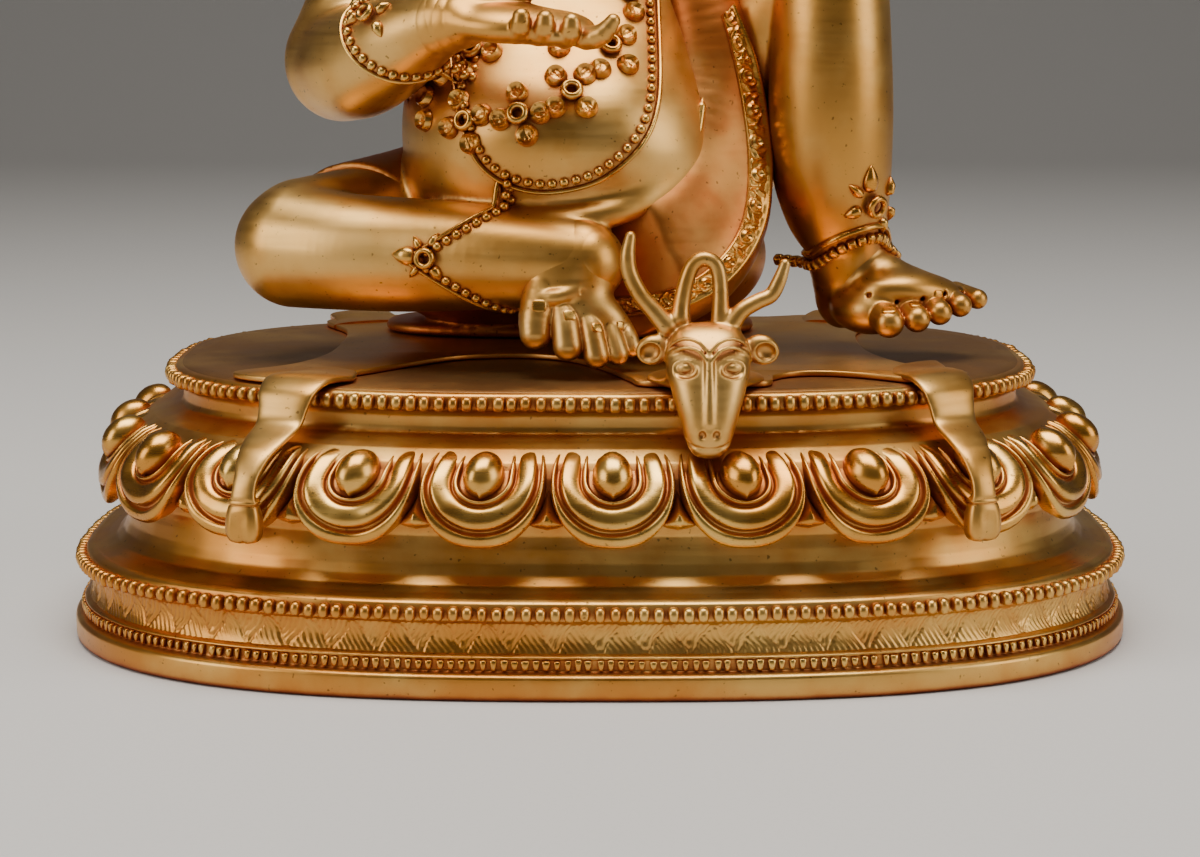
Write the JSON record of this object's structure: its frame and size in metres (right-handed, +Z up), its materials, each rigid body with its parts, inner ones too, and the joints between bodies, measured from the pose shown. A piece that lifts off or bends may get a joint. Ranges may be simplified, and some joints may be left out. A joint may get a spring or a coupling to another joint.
{
  "type": "virupa figure",
  "caption": "Gilt copper statue of a seated ascetic with a raised knee, on an antelope hide over a lotus base, made to stand on a shelf or altar.",
  "frame": {"origin": "middle of the flat underside of the lotus base", "axes": "+Z up, the figure faces -Y, +X towards the figure's own left side"},
  "size_m": [0.2, 0.152, 0.207],
  "materials": {
    "base_gilding": "fire-gilt cast copper, burnished on the high parts and coppery red in the recesses",
    "hide_gilding": "fire-gilt cast copper, satin with a chased face and fur strokes",
    "figure_gilding": "fire-gilt cast copper, satin on the skin and coppery red in the folds"
  },
  "bodies": {
    "root": {"lotus_base": "base_gilding", "antelope_hide": "hide_gilding", "figure": "figure_gilding"}
  },
  "joints": []
}
